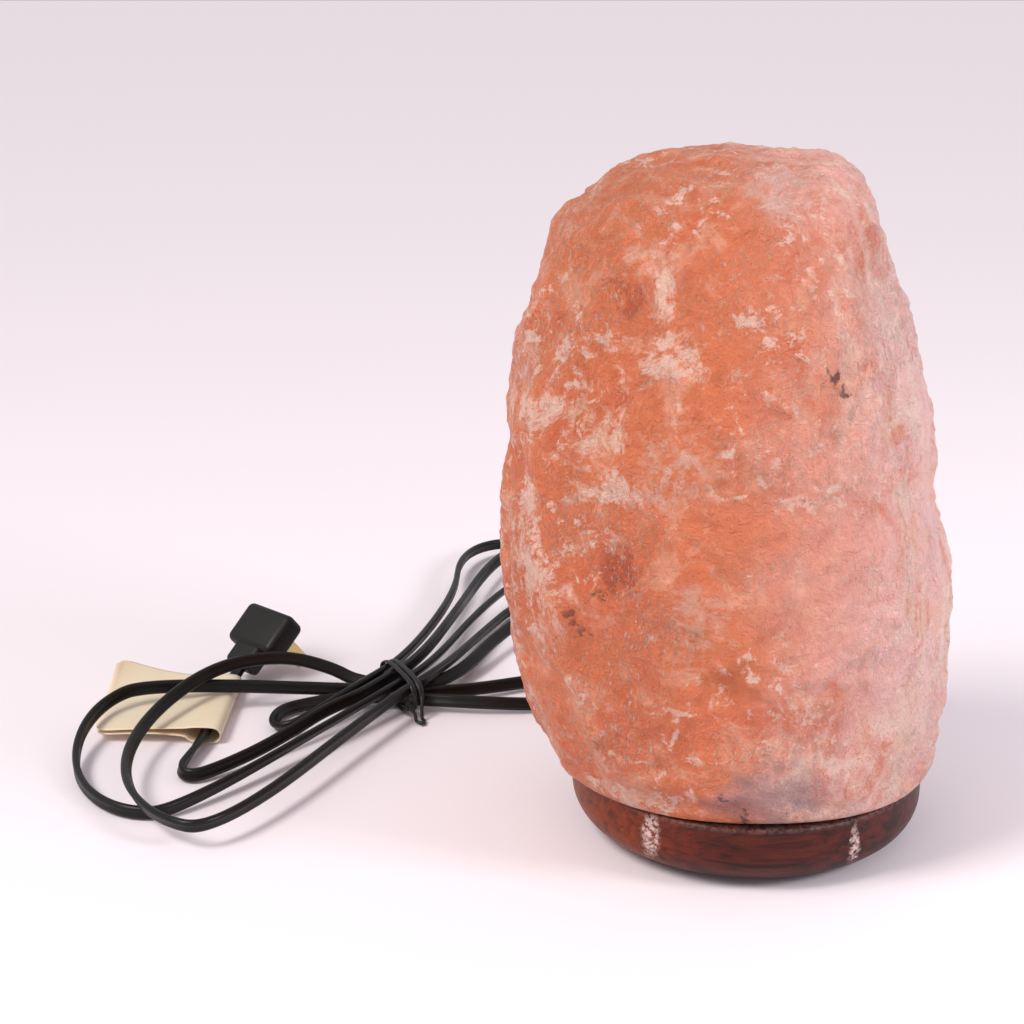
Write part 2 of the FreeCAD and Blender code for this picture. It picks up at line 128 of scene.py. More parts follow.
def addNode(nodes, kind, **values):
    # A shader node with its sockets set by name, or its settings where it has no such socket.
    node = nodes.new("ShaderNode" + kind)
    for name, value in values.items():
        socket = node.inputs.get(name.replace("_", " "))
        if socket is None:
            setattr(node, name, value)
        else:
            socket.default_value = value
    return node


def addCoordinates(nodes, links, scale=(1, 1, 1)):
    coordinates = addNode(nodes, "TexCoord")
    mapping = addNode(nodes, "Mapping", Scale=scale)
    links.new(coordinates.outputs["Object"], mapping.inputs["Vector"])
    return mapping.outputs["Vector"]


def addNoise(nodes, links, place, scale, detail=4, roughness=0.55, distortion=0):
    texture = addNode(nodes, "TexNoise", Scale=scale, Detail=detail, Roughness=roughness,
                      Distortion=distortion)
    links.new(place, texture.inputs["Vector"])
    return texture.outputs["Fac"]


def addRange(nodes, links, value, low, high, first=0.0, last=1.0):
    spread = addNode(nodes, "MapRange", interpolation_type="SMOOTHSTEP")
    for name, number in (("From Min", low), ("From Max", high), ("To Min", first), ("To Max", last)):
        spread.inputs[name].default_value = number
    links.new(value, spread.inputs["Value"])
    return spread.outputs["Result"]


def addMix(nodes, links, amount, first, last):
    # Mix two colours; each is a socket or a plain colour.
    mix = nodes.new("ShaderNodeMix")
    mix.data_type = "RGBA"
    for source, socket in ((amount, mix.inputs[0]), (first, mix.inputs[6]), (last, mix.inputs[7])):
        if isinstance(source, bpy.types.NodeSocket):
            links.new(source, socket)
        else:
            socket.default_value = (*source, 1) if isinstance(source, tuple) else source
    return mix.outputs[2]


def addMath(nodes, links, operation, first, second=None):
    node = addNode(nodes, "Math", operation=operation)
    for source, socket in ((first, node.inputs[0]), (second, node.inputs[1])):
        if isinstance(source, bpy.types.NodeSocket):
            links.new(source, socket)
        elif source is not None:
            socket.default_value = source
    return node.outputs[0]


def addBump(nodes, links, shader, height, strength, distance):
    bump = addNode(nodes, "Bump", Strength=strength, Distance=distance)
    links.new(height, bump.inputs["Height"])
    links.new(bump.outputs["Normal"], shader.inputs["Normal"])


def addSpot(nodes, links, place, center, radius, softness, squeeze=(1, 1, 1)):
    # 1 inside a soft ball round a point of the object, 0 outside it.
    offset = addNode(nodes, "VectorMath", operation="SUBTRACT")
    links.new(place, offset.inputs[0])
    offset.inputs[1].default_value = center
    scaled = addNode(nodes, "VectorMath", operation="MULTIPLY")
    links.new(offset.outputs[0], scaled.inputs[0])
    scaled.inputs[1].default_value = squeeze
    distance = addNode(nodes, "VectorMath", operation="LENGTH")
    links.new(scaled.outputs[0], distance.inputs[0])
    return addRange(nodes, links, distance.outputs["Value"], radius * softness, radius, 1.0, 0.0)


# Materials.

def addShake(nodes, links, place, scale, amount):
    # The same coordinates, shaken so that spots placed by them get ragged borders.
    wander = addNode(nodes, "TexNoise", Scale=scale, Detail=5.0, Roughness=0.65)
    links.new(place, wander.inputs["Vector"])
    centered = addNode(nodes, "VectorMath", operation="SUBTRACT")
    links.new(wander.outputs["Color"], centered.inputs[0])
    centered.inputs[1].default_value = (0.5, 0.5, 0.5)
    shake = addNode(nodes, "VectorMath", operation="MULTIPLY_ADD")
    links.new(centered.outputs[0], shake.inputs[0])
    shake.inputs[1].default_value = (amount, amount, amount)
    links.new(place, shake.inputs[2])
    return shake.outputs[0]


rockMarks = [
    # place, radius, squeeze, color, strength
    ((-0.057, -0.066, 0.106), 0.004, (1.2, 0.3, 0.8), (0.10, 0.02, 0.015), 0.85),
    ((-0.064, -0.055, 0.093), 0.004, (1, 0.3, 1), (0.16, 0.05, 0.04), 0.7),
    ((0.016, -0.055, 0.180), 0.004, (0.8, 0.3, 1.2), (0.10, 0.03, 0.03), 0.85),
    ((-0.048, -0.055, 0.204), 0.008, (1, 0.3, 1.2), (0.42, 0.06, 0.03), 0.6),
    ((-0.051, -0.068, 0.116), 0.010, (1.8, 0.3, 0.8), (0.40, 0.06, 0.03), 0.6),
    ((0.001, -0.038, 0.234), 0.011, (1, 0.3, 1), (0.85, 0.52, 0.46), 0.75),
    ((-0.061, -0.055, 0.161), 0.012, (1.3, 0.3, 0.8), (0.88, 0.58, 0.42), 0.8),
    ((-0.034, -0.068, 0.150), 0.015, (1, 0.3, 1), (0.86, 0.54, 0.42), 0.75),
    ((-0.027, -0.070, 0.103), 0.018, (1, 0.3, 1), (0.84, 0.50, 0.38), 0.6),
    ((0.001, -0.060, 0.039), 0.022, (0.8, 0.3, 1.2), (0.47, 0.30, 0.30), 0.7),
    ((-0.013, -0.062, 0.041), 0.004, (1, 0.3, 1), (0.10, 0.06, 0.06), 0.85),
    ((-0.009, -0.058, 0.028), 0.004, (1, 0.3, 1), (0.12, 0.07, 0.07), 0.8),
]


def saltMaterial():
    # Pink rock salt: clear orange depths, ragged white clouds and fine glittering scratches.
    material, nodes, links, shader = newMaterial("rock_salt")
    place = addCoordinates(nodes, links)

    def noisy(scale, detail, rough, wander, low, high, where=place):
        return addRange(nodes, links, addNoise(nodes, links, where, scale, detail, rough, wander), low, high)

    def times(first, second):
        return addMath(nodes, links, "MULTIPLY", first, second)

    # warm orange on the left, paler pink on the right
    across = addNode(nodes, "SeparateXYZ")
    links.new(place, across.inputs[0])
    uneven = times(addNoise(nodes, links, place, 14, 3), 0.09)
    side = addMath(nodes, links, "ADD", across.outputs["X"], uneven)
    right = addRange(nodes, links, side, 0.02, 0.1)
    color = addMix(nodes, links, right, (0.79, 0.225, 0.10), (0.93, 0.56, 0.52))
    color = addMix(nodes, links, times(noisy(24, 8, 0.68, 0.6, 0.48, 0.62), 0.7), color, (0.72, 0.175, 0.08))
    color = addMix(nodes, links, times(noisy(60, 8, 0.72, 0.7, 0.5, 0.64), 0.55), color, (0.92, 0.46, 0.31))
    # whitish clouds and flecks with ragged borders
    cloud = times(noisy(38, 12, 0.78, 0.5, 0.51, 0.59), noisy(12, 3, 0.5, 0, 0.42, 0.54))
    fleck = times(noisy(150, 9, 0.74, 0.4, 0.54, 0.60), noisy(22, 3, 0.5, 0, 0.44, 0.56))
    streaked = addCoordinates(nodes, links, (1, 1, 0.2))
    streak = times(times(noisy(95, 7, 0.66, 0.5, 0.5, 0.62, streaked), right), 0.9)
    white = addMath(nodes, links, "MAXIMUM", addMath(nodes, links, "MAXIMUM", cloud, fleck), streak)
    color = addMix(nodes, links, times(white, 0.8), color, (0.95, 0.67, 0.55))
    shaken = addShake(nodes, links, place, 95, 0.034)
    ragged = noisy(170, 8, 0.75, 0.4, 0.42, 0.56)
    for center, radius, squeeze, tint, strength in rockMarks:
        spot = addSpot(nodes, links, shaken, center, radius, 0.35, squeeze)
        spot = times(spot, ragged) if tint[0] > 0.8 else spot
        color = addMix(nodes, links, times(spot, strength), color, tint)
    # fine pale scratches that lean both ways
    scratch = None
    for lean, shift in ((0.75, 0), (-1.0, 3), (2.2, 6)):
        slanted = addNode(nodes, "Mapping", Rotation=(0.4, lean, 0.3), Location=(shift, 0, 0),
                          Scale=(1, 1, 0.3))
        links.new(place, slanted.inputs["Vector"])
        lines = noisy(820, 5, 0.7, 1.2, 0.59, 0.64, slanted.outputs["Vector"])
        scratch = lines if scratch is None else addMath(nodes, links, "MAXIMUM", scratch, lines)
    scratch = times(scratch, noisy(28, 4, 0.6, 0.4, 0.44, 0.58))
    color = addMix(nodes, links, times(scratch, 0.6), color, (0.93, 0.74, 0.64))
    links.new(color, shader.inputs["Base Color"])
    shader.inputs["Specular IOR Level"].default_value = 0.35
    shader.inputs["Subsurface Weight"].default_value = 0.25
    shader.inputs["Subsurface Radius"].default_value = (1.0, 0.35, 0.18)
    shader.inputs["Subsurface Scale"].default_value = 0.003
    links.new(addRange(nodes, links, scratch, 0, 1, 0.3, 0.15), shader.inputs["Roughness"])
    grain = addNoise(nodes, links, place, 380, 6, 0.7, 0.8)
    chips = addNode(nodes, "TexVoronoi", Scale=260.0)
    links.new(shaken, chips.inputs["Vector"])
    height = addMath(nodes, links, "ADD", times(grain, 0.8), times(scratch, 0.5))
    height = addMath(nodes, links, "ADD", height, times(chips.outputs["Distance"], 0.6))
    addBump(nodes, links, shader, height, 1.0, 0.0024)
    return material


saltRuns = [
    # place, radius, squeeze
    ((-0.037, -0.051, 0.016), 0.0036, (1, 0.1, 0.3)),
    ((0.032, -0.054, 0.014), 0.0022, (1, 0.1, 0.2)),
]


def woodMaterial():
    # Dark red-brown stain over a grain that runs left to right, with dried salt on it.
    material, nodes, links, shader = newMaterial("stained_wood")
    place = addCoordinates(nodes, links)

    def times(first, second):
        return addMath(nodes, links, "MULTIPLY", first, second)

    grain = addNoise(nodes, links, addCoordinates(nodes, links, (3, 22, 26)), 9, 6, 0.6, 1.2)
    fine = addNoise(nodes, links, addCoordinates(nodes, links, (6, 60, 70)), 14, 4, 0.7)
    banded = addRange(nodes, links, grain, 0.35, 0.65)
    color = addMix(nodes, links, banded, (0.02, 0.003, 0.002), (0.09, 0.011, 0.005))
    across = addNode(nodes, "SeparateXYZ")
    links.new(place, across.inputs[0])
    left = addRange(nodes, links, across.outputs["X"], -0.052, -0.012, 1.0, 0.0)
    lighter = times(left, addRange(nodes, links, grain, 0.3, 0.6, 0.35, 1.0))
    color = addMix(nodes, links, lighter, color, (0.22, 0.034, 0.004))
    darker = times(addRange(nodes, links, fine, 0.5, 0.7), 0.55)
    color = addMix(nodes, links, darker, color, (0.012, 0.004, 0.004))
    # dried salt that ran down from the rock, and a little dust at the rim
    shaken = addShake(nodes, links, place, 420, 0.006)
    crust = addRange(nodes, links, addNoise(nodes, links, place, 620, 5, 0.7), 0.4, 0.58)
    salt = None
    for center, radius, squeeze in saltRuns:
        run = times(addSpot(nodes, links, shaken, center, radius, 0.4, squeeze), crust)
        salt = run if salt is None else addMath(nodes, links, "MAXIMUM", salt, run)
    rim = times(addRange(nodes, links, across.outputs["Z"], 0.0225, 0.0248), crust)
    salt = addMath(nodes, links, "MAXIMUM", salt, times(rim, 0.12))
    color = addMix(nodes, links, times(salt, 0.85), color, (0.72, 0.55, 0.5))
    links.new(color, shader.inputs["Base Color"])
    links.new(addRange(nodes, links, salt, 0, 1, 0.42, 0.8), shader.inputs["Roughness"])
    shader.inputs["Specular IOR Level"].default_value = 0.22
    shader.inputs["Coat Weight"].default_value = 0.05
    shader.inputs["Coat Roughness"].default_value = 0.3
    addBump(nodes, links, shader, addMath(nodes, links, "ADD", fine, salt), 0.3, 0.0006)
    return material


def mouldedMaterial(name, color, roughness, scale=900, strength=0.12, shine=0.5):
    # Moulded plastic or rubber with a fine uneven skin.
    material, nodes, links, shader = newMaterial(name)
    place = addCoordinates(nodes, links)
    skin = addNoise(nodes, links, place, scale, 3)
    cloud = addNoise(nodes, links, place, 60, 3)
    darker = tuple(0.7 * c for c in color)
    links.new(addMix(nodes, links, cloud, darker, color), shader.inputs["Base Color"])
    sheen = addRange(nodes, links, cloud, 0.3, 0.7, roughness - 0.05, roughness + 0.08)
    links.new(sheen, shader.inputs["Roughness"])
    shader.inputs["Specular IOR Level"].default_value = shine
    addBump(nodes, links, shader, skin, strength, 0.0003)
    return material


def metalMaterial(name, color, roughness):
    material, nodes, links, shader = newMaterial(name)
    place = addCoordinates(nodes, links, (1, 1, 8))
    brushed = addNoise(nodes, links, place, 500, 3)
    shader.inputs["Metallic"].default_value = 1
    darker = tuple(0.8 * c for c in color)
    links.new(addMix(nodes, links, brushed, darker, color), shader.inputs["Base Color"])
    sheen = addRange(nodes, links, brushed, 0.3, 0.7, roughness - 0.06, roughness + 0.08)
    links.new(sheen, shader.inputs["Roughness"])
    addBump(nodes, links, shader, brushed, 0.1, 0.0002)
    return material


def glassMaterial():
    material, nodes, links, shader = newMaterial("bulb_glass_clear")
    place = addCoordinates(nodes, links)
    shader.inputs["Transmission Weight"].default_value = 1
    shader.inputs["IOR"].default_value = 1.45
    links.new(addRange(nodes, links, addNoise(nodes, links, place, 80, 2), 0.3, 0.7, 0.02, 0.06),
              shader.inputs["Roughness"])
    return material


def tagMaterial():
    # Cream film, a little aged.
    material, nodes, links, shader = newMaterial("tag_film")
    place = addCoordinates(nodes, links)
    cloud = addNoise(nodes, links, place, 45, 4)
    color = addMix(nodes, links, cloud, (0.80, 0.62, 0.42), (0.90, 0.78, 0.60))
    links.new(color, shader.inputs["Base Color"])
    shader.inputs["Roughness"].default_value = 0.45
    shader.inputs["Subsurface Weight"].default_value = 0.15
    shader.inputs["Subsurface Scale"].default_value = 0.002
    addBump(nodes, links, shader, addNoise(nodes, links, place, 350, 3), 0.12, 0.0003)
    return material


# Mesh helpers.

def addPiece(name, mesh, body, material):
    piece = bpy.data.objects.new(name, mesh)
    bpy.context.scene.collection.objects.link(piece)
    mesh.materials.clear()
    mesh.materials.append(material)
    for polygon in mesh.polygons:
        polygon.use_smooth = True
    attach(piece, body)
    return piece


def splinePoints(points, closeness=12):
    # Points along the smooth line that has these control points.
    curve = bpy.data.curves.new("line", "CURVE")
    curve.dimensions = "3D"
    spline = curve.splines.new("NURBS")
    spline.points.add(len(points) - 1)
    for point, place in zip(spline.points, points):
        point.co = (*place, 1)
    spline.order_u = 3
    spline.use_endpoint_u = True
    spline.resolution_u = closeness
    holder = bpy.data.objects.new("line", curve)
    mesh = bpy.data.meshes.new_from_object(holder)
    line = [v.co.copy() for v in mesh.vertices]
    bpy.data.objects.remove(holder)
    bpy.data.meshes.remove(mesh)
    return line


def evenPoints(line, step):
    # The same line with its points an even step apart.
    places = np.array(line)
    lengths = np.concatenate([[0], np.cumsum(np.linalg.norm(np.diff(places, axis=0), axis=1))])
    count = int(lengths[-1] / step)
    wanted = np.linspace(0, lengths[-1], count)
    return [Vector(p) for p in np.stack([np.interp(wanted, lengths, places[:, k]) for k in range(3)], axis=1)]


def sweep(line, section, roll, upward=up):
    # A closed tube along a line: section gives each ring's (across, thick) points and roll its turn.
    mesh = bmesh.new()
    rings = []
    for i, point in enumerate(line):
        ahead = (line[min(i + 1, len(line) - 1)] - line[max(i - 1, 0)]).normalized()
        upright = (upward - ahead * ahead.dot(upward)).normalized()
        sideways = ahead.cross(upright)
        turn = roll(i)
        across = upright * math.cos(turn) + sideways * math.sin(turn)
        thick = ahead.cross(across)
        rings.append([mesh.verts.new(point + across * a + thick * b) for a, b in section(i)])
    for ring, following in zip(rings, rings[1:]):
        for k in range(len(ring)):
            other = (k + 1) % len(ring)
            mesh.faces.new((ring[k], ring[other], following[other], following[k]))
    mesh.faces.new(rings[0][::-1])
    mesh.faces.new(rings[-1])
    bmesh.ops.recalc_face_normals(mesh, faces=mesh.faces)
    result = bpy.data.meshes.new("sweep")
    mesh.to_mesh(result)
    mesh.free()
    return result


def millimetres(points):
    return [(x / 1000, y / 1000, z / 1000) for x, y, z in points]


# The cord follows the same corners as its solids.

cordSettings = dict(
    width=5.4, lobe=1.32, core=1.38, web=1.0, pointStep=0.0015,
    strandGap=0.95, tieDiameter=1.8,
)
cordWidth = cordSettings["width"]
strandStep = cordWidth + cordSettings["strandGap"]
waistLow = cordSettings["tieDiameter"] + cordWidth / 2 + 0.4
waistHigh = waistLow + strandStep + 0.1
waist = (-130.0, 101.0)
waistRun = 18.0
waistAngles = (352, 58)  # of the lower strands and of the upper ones
straightRun = 1.3 * cordWidth
strandOrder = [(1, 0), (0, 3), (1, 2), (0, 0), (1, 1), (0, 1), (0, 2)]
foldPoints = 7
innerLead = [
    (0.0, 0.0, 30.0), (0.0, 0.0, 15.0), (0.0, 5.0, 6.6), (0.0, 14.0, 4.6), (0.0, 28.0, 4.6),
    (0.54, 45.0, 5.05), (0.0, 60.0, 4.3),
]
leadStart = [
    (0.0, 60.0, 4.3), (-0.5, 74.0, 3.6), (-8.0, 88.0, 3.0), (-23.0, 96.0, 2.9), (-41.0, 97.0, 2.9),
    (-60.0, 94.0, 3.0), (-78.0, 91.5, 3.5), (-94.0, 90.4, 4.6),
]
plugStart = (-197.5, 121.0, 6.9)
plugAngle = math.radians(47)
plugSlope = math.radians(40)
tailEnd = [
    (-158.3, 71.0, 9.8), (-168.5, 58.3, 7.6), (-181.0, 44.5, 5.2), (-194.5, 32.5, 3.4), (-204.5, 24.5, 3.0),
    (-210.5, 30.5, 3.0), (-208.0, 44.0, 3.3), (-205.2, 58.0, 3.5), (-203.4, 78.0, 3.45), (-202.4, 99.0, 3.45),
]
folds = [
    # reach, middle, half, lean, tip, neck, heights
    (55.0, 207.0, -15.5, -0.12, 0.2, 0.0, (2.9, 2.9, 2.9, 6.5)),
    (190.0, 67.6, 30.0, 0.12, 0.8, 1.0, (8.9, 6.0, 5.0, 9.3, 8.9)),
    (106.0, 202.8, -48.6, -0.71, 0.2, 0.0, (11.0, 17.2, 18.0, 11.0, 9.2, 9.2, 9.5)),
    (150.0, 40.0, 46.0, 0.0, 0.8, 0.7, (6.0, 2.9, 2.9, 2.9, 2.9, 2.9, 2.9)),
    (139.0, 210.5, -26.0, -0.13, 0.2, 0.0, (13.6, 11.6, 7.9, 3.8, 2.9, 2.9, 2.9)),
    (182.0, 72.3, -8.0, 0.0, 0.8, 1.0, (8.9, 5.0, 8.9)),
]


def waistPoint(strand, end, extra=0.0):
    under, order = strand
    angle = math.radians(waistAngles[0] if under else waistAngles[1])
    across = (order - (1 if under else 1.5)) * strandStep
    along = end * (waistRun + extra)
    x = waist[0] + along * math.cos(angle) - across * math.sin(angle)
    y = waist[1] + along * math.sin(angle) + across * math.cos(angle)
    return (x, y, waistLow if under else waistHigh)


def foldLine(reach, middle, half, lean, tip, neck, heights):
    points = []
    for i in range(foldPoints):
        turn = math.radians(24 + 132 * i / (foldPoints - 1))
        angle = math.radians(middle + half * math.cos(turn) * math.sin(turn) ** neck)
        radius = reach * math.sin(turn) ** tip * (1 + lean * math.cos(turn))
        height = np.interp(i * (len(heights) - 1) / (foldPoints - 1), range(len(heights)), heights)
        points.append((waist[0] + radius * math.cos(angle), waist[1] + radius * math.sin(angle), height))
    return points


def beforePlug(length):
    # A point on the plug's axis, before its neck.
    ahead = Vector((math.cos(plugAngle) * math.cos(plugSlope), math.sin(plugAngle) * math.cos(plugSlope),
                    math.sin(plugSlope)))
    return tuple(Vector(plugStart) - ahead * length)


def cordPoints():
    points = leadStart + [waistPoint(strandOrder[0], 1, straightRun)]
    for i, strand in enumerate(strandOrder):
        side = 1 if i % 2 == 0 else -1
        points += [waistPoint(strand, side), waistPoint(strand, -side)]
        if i < len(folds):
            points += foldLine(*folds[i])
    points += [waistPoint(strandOrder[-1], -1, straightRun)] + tailEnd
    return millimetres(points + [beforePlug(1.05 * cordWidth), plugStart])


def flatCordSection():
    # Two round cores side by side, joined by a thinner web.
    lobe, core, web = (cordSettings[name] for name in ("lobe", "core", "web"))
    points = []
    for side in (1, -1):
        angles = [math.radians(a) for a in (-105, -75, -40, 0, 40, 75, 105)]
        points += [(side * (lobe + core * math.cos(a)), side * core * math.sin(a)) for a in angles]
        points.append((0, side * web))
    return [(a / 1000, b / 1000) for a, b in points]


def addCord():
    line = evenPoints(splinePoints(cordPoints()), cordSettings["pointStep"])
    count = len(line)
    section = flatCordSection()

    def roll(i):
        lean = 24 + 16 * math.sin(i / 61) + 8 * math.sin(i / 23 + 1)
        ending = min(1, max(0, (i - count + 60) / 35))
        return math.radians(lean + (90 - lean) * ending)

    cord = addPiece("flat_cord", sweep(line, lambda i: section, roll), "cord_set",
                    mouldedMaterial("cord_vinyl", (0.007, 0.005, 0.0045), 0.36, 700, 0.08, shine=0.3))
    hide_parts("cord_lead", "cord_hank", "cord_tail")
    length = sum((b - a).length for a, b in zip(line, line[1:]))
    print("cord length", round(length, 3))
    # the lead inside the base starts upright and meets the free cord at the same turn
    inside = evenPoints(splinePoints(millimetres(innerLead)), cordSettings["pointStep"])
    meeting = math.radians(math.degrees(roll(0)) - 90)
    tube = sweep(inside, lambda i: section, lambda i: meeting, Vector((1, 0, 0)))
    lead = addPiece("inner_lead", tube, "cord_set", cord.data.materials[0])
    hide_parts("holder_lead")
    return cord, line, length


# The rock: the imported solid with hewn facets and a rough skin.

rockSettings = dict(
    voxel=0.0014, smoothing=3, bore=0.0245, top=0.146, foot=0.026, footFade=0.006, inward=0.0022,
    rightTrim=0.0026, rightFrom=0.02, rightFade=0.03, trimBelow=0.165, trimFade=0.04,
    swell=0.0012, swellScale=60, grit=0.0003, gritScale=500, pit=0.0012, pitScale=150, pitLevel=0.25,
    facets=[
        # spacing, tilt, blend, share, most
        (0.027, 0.11, 0.0022, 0.8, 0.0026),
        (0.010, 0.16, 0.0010, 0.6, 0.0009),
    ],
)


def facetShift(places, normals, weight, area, seed, spacing, tilt, blend, share, most):
    # How far each point of the skin moves to lie on the nearest of many flat facets.
    random = np.random.default_rng(seed)
    seeds = random.choice(np.nonzero(weight > 0.5)[0], int(area / spacing ** 2), replace=False)
    facing = normals[seeds] + random.normal(0, tilt, (len(seeds), 3))
    facing /= np.linalg.norm(facing, axis=1, keepdims=True)
    tree = KDTree(len(seeds))
    for k, i in enumerate(seeds):
        tree.insert(places[i], k)
    tree.balance()
    shift = np.zeros(len(places))
    for i, point in enumerate(places):
        near = tree.find_n(point, 3)
        total = 0
        for center, k, distance in near:
            nearness = math.exp((near[0][2] - distance) / blend)
            shift[i] -= nearness * facing[k].dot(point - np.array(center))
            total += nearness
        shift[i] /= total
    return np.clip(shift, -most, most) * share


def carvedRock():
    values = rockSettings
    source = bpy.data.objects["salt_crystal"].data.copy()
    holder = bpy.data.objects.new("rock_source", source)
    bpy.context.scene.collection.objects.link(holder)
    remesh = holder.modifiers.new("remesh", "REMESH")
    remesh.mode = "VOXEL"
    remesh.voxel_size = values["voxel"]
    smooth = holder.modifiers.new("smooth", "SMOOTH")
    smooth.iterations = values["smoothing"]
    graph = bpy.context.evaluated_depsgraph_get()
    mesh = bpy.data.meshes.new_from_object(holder.evaluated_get(graph))
    bpy.data.objects.remove(holder)
    count = len(mesh.vertices)
    places = np.empty(count * 3)
    mesh.vertices.foreach_get("co", places)
    places = places.reshape(-1, 3)
    normals = np.empty(count * 3)
    mesh.vertex_normals.foreach_get("vector", normals)
    normals = normals.reshape(-1, 3)
    # the skin is carved, the bore and the underside are not
    away = np.hypot(places[:, 0], places[:, 1])
    outside = (away > values["bore"]) | (places[:, 2] > values["top"])
    weight = outside * np.clip((places[:, 2] - values["foot"]) / values["footFade"], 0, 1)
    area = sum(polygon.area for polygon in mesh.polygons)
    shift = -values["inward"] * np.ones(count)
    # the right side stands in a little below its widest place
    low = np.clip((values["trimBelow"] - places[:, 2]) / values["trimFade"], 0, 1)
    right = np.clip((places[:, 0] - values["rightFrom"]) / values["rightFade"], 0, 1)
    shift -= values["rightTrim"] * low * right
    for seed, facets in enumerate(values["facets"]):
        shift += facetShift(places, normals, weight, area, seed + 7, *facets)
    pitPlace = Vector((3, 1, 7))
    shift += [
        values["swell"] * noise.fractal(Vector(p) * values["swellScale"], 0.75, 2.1, 5)
        + values["grit"] * noise.noise(Vector(p) * values["gritScale"])
        - values["pit"] * max(0, noise.noise(Vector(p) * values["pitScale"] + pitPlace) - values["pitLevel"])
        for p in places
    ]
    places = places + normals * (shift * weight)[:, None]
    mesh.vertices.foreach_set("co", places.ravel())
    mesh.update()
    return mesh


def addRock():
    rock = addPiece("carved_rock", carvedRock(), "lamp_body", saltMaterial())
    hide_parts("salt_crystal")
    print("rock faces", len(rock.data.polygons))


# The plug, its tag and the twist tie.

plugSettings = dict(
    neck=(11.5, 15.0, 9.0, 2.4), neckStart=0.0,
    head=(19.0, 27.0, 11.0, 2.9), headStart=9.0,
)


def roundedBlock(length, width, thickness, edge, start):
    # a block along +X with every edge rounded
    block = bmesh.new()
    bmesh.ops.create_cube(block, size=1)
    bmesh.ops.scale(block, vec=(length / 1000, width / 1000, thickness / 1000), verts=block.verts)
    bmesh.ops.translate(block, vec=((start + length / 2) / 1000, 0, 0), verts=block.verts)
    bmesh.ops.bevel(block, geom=block.edges[:], offset=edge / 1000, affect="EDGES", segments=6, profile=0.5,
                    material=-1, clamp_overlap=True)
    mesh = bpy.data.meshes.new("block")
    block.to_mesh(mesh)
    block.free()
    return mesh


def joined(meshes):
    # one mesh out of several
    whole = bmesh.new()
    for mesh in meshes:
        whole.from_mesh(mesh)
    result = bpy.data.meshes.new("joined")
    whole.to_mesh(result)
    whole.free()
    return result


def addPlug():
    values = plugSettings
    neck = roundedBlock(*values["neck"], values["neckStart"])
    head = roundedBlock(*values["head"], values["headStart"])
    data = joined([neck, head])
    turn = Matrix.Rotation(plugAngle, 4, "Z") @ Matrix.Rotation(-plugSlope, 4, "Y")
    data.transform(Matrix.Translation(Vector(plugStart) / 1000) @ turn)
    plug = addPiece("moulded_plug", data, "cord_set",
                    mouldedMaterial("plug_vinyl", (0.010, 0.0085, 0.008), 0.46, 500, 0.15, shine=0.3))
    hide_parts("plug_body")
    return plug


tieAngle = math.radians(24)
tieSettings = dict(
    width=2.4, thickness=1.0, pitch=3.0, turns=2, turnSteps=40, slack=1.6, rise=0.9, squareness=0.62,
    tail=9.0, tailSteps=30, tailWire=(1.5, 1.1), twistAlong=0.75, twistUp=0.7, twistStep=3.2,
)


def ovalSection(width, thickness, count=12):
    angles = [2 * math.pi * k / count for k in range(count)]
    return [(width / 2000 * math.cos(angle), thickness / 2000 * math.sin(angle)) for angle in angles]


def addTie():
    # Two tight turns of coated wire round the strands, its ends twisted together at the near side.
    width, thickness, pitch, turns, turnSteps, slack, rise, squareness, *ends = tieSettings.values()
    tail, tailSteps, tailWire, twistAlong, twistUp, twistStep = ends
    half = (1.5 * strandStep + cordWidth / 2) / math.cos(math.radians(waistAngles[1]) - tieAngle) + slack
    low, high = rise, waistHigh + cordWidth / 2 + rise
    middle, tall = (low + high) / 2, (high - low) / 2
    axis = Vector((math.cos(tieAngle), math.sin(tieAngle), 0))
    beside = Vector((-math.sin(tieAngle), math.cos(tieAngle), 0))
    center = Vector((*waist, 0))

    def place(along, across, height):
        return (center + axis * along + beside * across + up * height) / 1000

    loop = []
    for k in range(turnSteps * turns + 1):
        angle = -math.pi + 2 * math.pi * k / turnSteps
        across = half * math.copysign(abs(math.cos(angle)) ** squareness, math.cos(angle))
        height = middle + tall * math.copysign(abs(math.sin(angle)) ** squareness, math.sin(angle))
        loop.append(place(pitch * (k / turnSteps - turns / 2), across, height))
    meshes = [sweep(loop, lambda i: ovalSection(width, thickness), lambda i: 0, axis)]
    for side in (0, math.pi):
        end = []
        for k in range(tailSteps + 1):
            twist = side + k / twistStep
            along = (1 - k / tailSteps) * pitch * (-1 if side else 1) * turns / 2
            along += twistAlong * math.cos(twist) * k / tailSteps
            height = middle * (1 - k / 16) + 0.9 + twistUp * math.sin(twist)
            end.append(place(along, -half - tail * k / tailSteps, max(1.0, height)))
        meshes.append(sweep(end, lambda i: ovalSection(*tailWire), lambda i: 0, axis))
    tie = addPiece("twisted_tie", joined(meshes), "cord_set",
                   mouldedMaterial("tie_paper", (0.010, 0.009, 0.009), 0.5, 800, 0.2))
    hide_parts("twist_tie")
    return tie


tagSettings = dict(
    width=44.0, length=54.0, loop=13.0, height=6.9, edge=3.0, gap=1.4, corner=7.0, curl=9.0,
    ripple=0.35, steps=40, film=0.0003,
)
tagPlace = (-204.8, 61.0, 0.0)
tagTurn = math.radians(-2.4)


